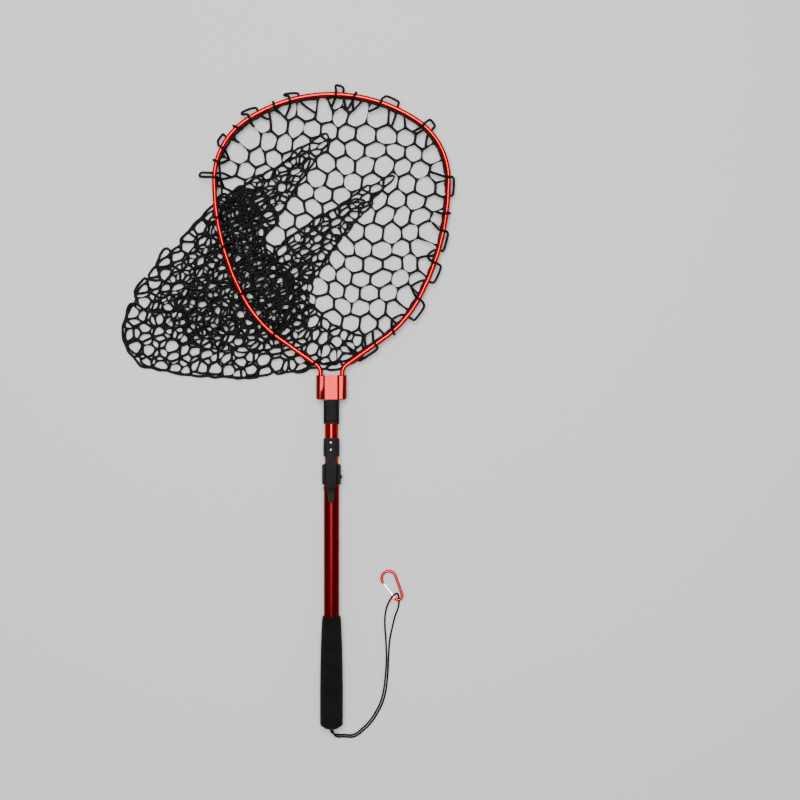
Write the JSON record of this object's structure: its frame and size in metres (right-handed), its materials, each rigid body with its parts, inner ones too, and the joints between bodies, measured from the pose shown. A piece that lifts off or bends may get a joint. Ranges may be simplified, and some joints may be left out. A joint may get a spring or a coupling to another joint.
{
  "type": "landing net",
  "caption": "Folding landing net: teardrop metal hoop with a rubber mesh bag, folding yoke, telescopic handle with foam grip, belt clip and a wrist lanyard with a snap hook.",
  "frame": {"origin": "centre of the butt end's outer face, on the handle's axis", "axes": "+Y along the handle from the butt to the hoop, +Z towards the belt clip side, away from the floor it lies on, +X towards the release button"},
  "size_m": [0.553, 1.0844, 0.0403],
  "materials": {
    "anodised_red": "anodised, satin",
    "hook_red": "anodised, gloss",
    "black_plastic": "moulded, satin",
    "foam": "closed-cell foam, matt",
    "net_rubber": "rubber-coated mesh, satin",
    "cord": "braided cord",
    "steel": "bright"
  },
  "bodies": {
    "handle": {"outer_tube": "anodised_red", "foam_grip": "foam", "end_cap": "black_plastic", "lock_collar": "black_plastic", "tube_rivet": "steel", "lanyard_cord": "cord", "carabiner_frame": "hook_red", "gate_pin": "steel"},
    "button": {"release_button": "black_plastic"},
    "gate": {"carabiner_gate": "steel"},
    "inner_handle": {"inner_tube": "anodised_red", "guide_bush": "black_plastic", "knuckle": "black_plastic", "clip_collar": "black_plastic", "clip_screws": "steel"},
    "clip": {"belt_clip": "black_plastic"},
    "slider": {"slide_lock": "black_plastic"},
    "head": {"yoke": "anodised_red", "hinge_pin": "steel", "hoop": "anodised_red", "net_bag": "net_rubber"}
  },
  "joints": [
    {"name": "telescope", "type": "slide", "parent": "handle", "child": "inner_handle", "axis": [0, 1, 0], "range_m": [0, 0.33]},
    {"name": "fold", "type": "hinge", "parent": "inner_handle", "child": "head", "pos_m": [0, 0.569, 0], "axis": [-1, 0, 0], "range_deg": [0, 172], "deforming": ["net_bag"]},
    {"name": "lock_slide", "type": "slide", "parent": "inner_handle", "child": "slider", "axis": [0, -1, 0], "range_m": [0, 0.014]},
    {"name": "clip_flex", "type": "hinge", "parent": "inner_handle", "child": "clip", "pos_m": [0, 0.457, 0.018], "axis": [-1, 0, 0], "range_deg": [0, 6], "stiffness_Nm_per_rad": 0.6},
    {"name": "button_press", "type": "slide", "parent": "handle", "child": "button", "axis": [-1, 0, 0], "range_m": [0, 0.002], "stiffness_N_per_m": 500},
    {"name": "gate_open", "type": "hinge", "parent": "handle", "child": "gate", "pos_m": [0.10471, 0.21685, -0.01349], "axis": [0.0239, -0.0655, -0.9976], "range_deg": [0, 25], "stiffness_Nm_per_rad": 0.02}
  ]
}
